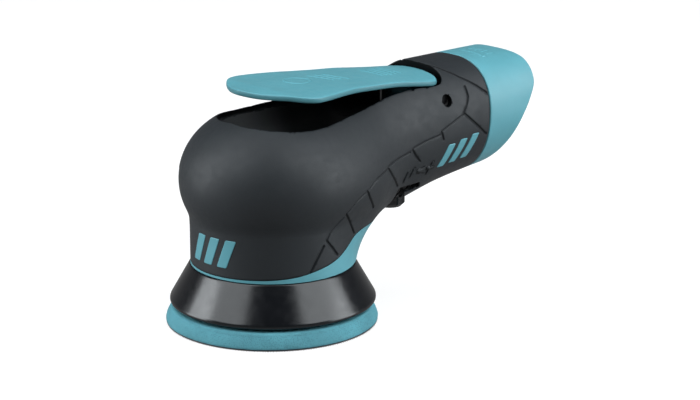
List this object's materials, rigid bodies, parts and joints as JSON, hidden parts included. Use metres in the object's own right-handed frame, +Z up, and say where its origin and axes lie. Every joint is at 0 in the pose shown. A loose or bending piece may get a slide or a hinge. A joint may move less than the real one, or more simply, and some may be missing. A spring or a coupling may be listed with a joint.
{
  "type": "orbital sander",
  "caption": "Pneumatic palm orbital sander: round hook-and-loop pad under a conical shroud, domed rubber grip with a rear handle, palm lever and speed knob.",
  "frame": {"origin": "where the motor axis meets the pad's working face", "axes": "+Z up along the motor axis; +X along the handle to its rear end; +Y completes the right-handed frame"},
  "size_m": [0.1801, 0.0894, 0.1036],
  "materials": {
    "teal_plastic": "satin moulded composite, fine texture",
    "grip_rubber": "matte overmoulded rubber, fine grain",
    "black_plastic": "semi-gloss black moulded plastic",
    "foam": "open-cell pad foam, matte",
    "hook": "hook tape",
    "fibreboard": "glass fibre plate",
    "steel": "machined",
    "bearing_steel": "ground and polished",
    "zinc_steel": "bright zinc plate",
    "brass": "turned",
    "black_oxide": "blackened steel",
    "aluminium": "turned, clear anodised",
    "nitrile": "smooth nitrile",
    "felt": "pressed felt",
    "phenolic": "linen phenolic"
  },
  "bodies": {
    "housing": {"housing": "teal_plastic", "grip_overmold": "grip_rubber", "exhaust_cap": "teal_plastic", "exhaust_cap_screws": "zinc_steel", "muffler_felt": "felt", "shroud": "black_plastic", "lock_ring": "aluminium", "lever_pin": "black_oxide", "stem_bushing": "brass", "stem_seal_ring": "nitrile", "valve_seat": "aluminium", "valve_spring": "steel", "inlet_bushing": "aluminium", "inlet_seal_ring": "nitrile", "inlet_screen": "steel", "regulator_seal_ring": "nitrile", "regulator_retaining_ring": "steel", "motor_cylinder": "steel", "lower_end_plate": "aluminium", "upper_end_plate": "aluminium", "motor_seal_ring": "nitrile", "cylinder_dowel_pin": "bearing_steel", "lower_dust_shield": "zinc_steel", "upper_bearing_outer_ring": "bearing_steel", "lower_bearing_outer_ring": "bearing_steel"},
    "lever": {"throttle_lever": "teal_plastic"},
    "stem": {"valve_stem": "steel"},
    "valve": {"tip_valve": "steel", "tip_valve_seal": "nitrile"},
    "speed_knob": {"speed_regulator": "black_plastic"},
    "motor": {"rotor": "steel", "rotor_key": "steel", "shaft_balancer": "steel", "shaft_retaining_ring": "steel", "upper_bearing_inner_ring": "bearing_steel", "upper_bearing_balls": "bearing_steel", "lower_bearing_inner_ring": "bearing_steel", "lower_bearing_balls": "bearing_steel", "spindle_bearing_outer_ring": "bearing_steel", "spindle_bearing_retaining_ring": "steel"},
    "pad": {"spindle": "steel", "spindle_bearing_inner_ring": "bearing_steel", "spindle_bearing_balls": "bearing_steel", "spindle_washer": "zinc_steel", "spindle_screw": "zinc_steel", "pad_stud": "zinc_steel", "pad_rivets": "aluminium", "pad_backing_plate": "fibreboard", "pad_foam": "foam", "pad_hook_face": "hook"},
    "vane_1": {"rotor_vane_1": "phenolic"},
    "vane_2": {"rotor_vane_2": "phenolic"},
    "vane_3": {"rotor_vane_3": "phenolic"},
    "vane_4": {"rotor_vane_4": "phenolic"},
    "vane_5": {"rotor_vane_5": "phenolic"}
  },
  "joints": [
    {"name": "lever_press", "type": "hinge", "parent": "housing", "child": "lever", "pos_m": [0.0785, 0, 0.0847], "axis": [0, -1, 0], "range_deg": [0, 6.5], "stiffness_Nm_per_rad": 2, "springref_deg": -8.59},
    {"name": "stem_slide", "type": "slide", "parent": "housing", "child": "stem", "axis": [0, 0, -1], "range_m": [0, 0.002]},
    {"name": "tip_valve_tilt", "type": "hinge", "parent": "housing", "child": "valve", "pos_m": [0.0795, 0, 0.0734], "axis": [0, -1, 0], "range_deg": [0, 7], "deforming": ["valve_spring"]},
    {"name": "speed_turn", "type": "hinge", "parent": "housing", "child": "speed_knob", "pos_m": [0.0668, 0, 0.04], "axis": [0, 0, 1], "range_deg": [-60, 60]},
    {"name": "motor_spin", "type": "hinge", "parent": "housing", "child": "motor", "pos_m": [0, 0, 0.045], "axis": [0, 0, 1], "continuous": true},
    {"name": "pad_spin", "type": "hinge", "parent": "motor", "child": "pad", "pos_m": [-0.00194, -0.00157, 0.018], "axis": [0, 0, 1], "continuous": true},
    {"name": "vane_1_slide", "type": "slide", "parent": "motor", "child": "vane_1", "axis": [0.9397, 0.342, 0], "range_m": [0, 0.00012]},
    {"name": "vane_2_slide", "type": "slide", "parent": "motor", "child": "vane_2", "axis": [-0.0349, 0.9994, 0], "range_m": [0, 0.00012]},
    {"name": "vane_3_slide", "type": "slide", "parent": "motor", "child": "vane_3", "axis": [-0.9613, 0.2756, 0], "range_m": [0, 0.00012]},
    {"name": "vane_4_slide", "type": "slide", "parent": "motor", "child": "vane_4", "axis": [-0.5592, -0.829, 0], "range_m": [0, 0.00012]},
    {"name": "vane_5_slide", "type": "slide", "parent": "motor", "child": "vane_5", "axis": [0.6157, -0.788, 0], "range_m": [0, 0.00012]}
  ],
  "couplings": [
    {"joint": "stem_slide", "follows": "lever_press", "m_per_rad": 0.0162},
    {"joint": "tip_valve_tilt", "follows": "lever_press", "ratio": 0.9419}
  ]
}
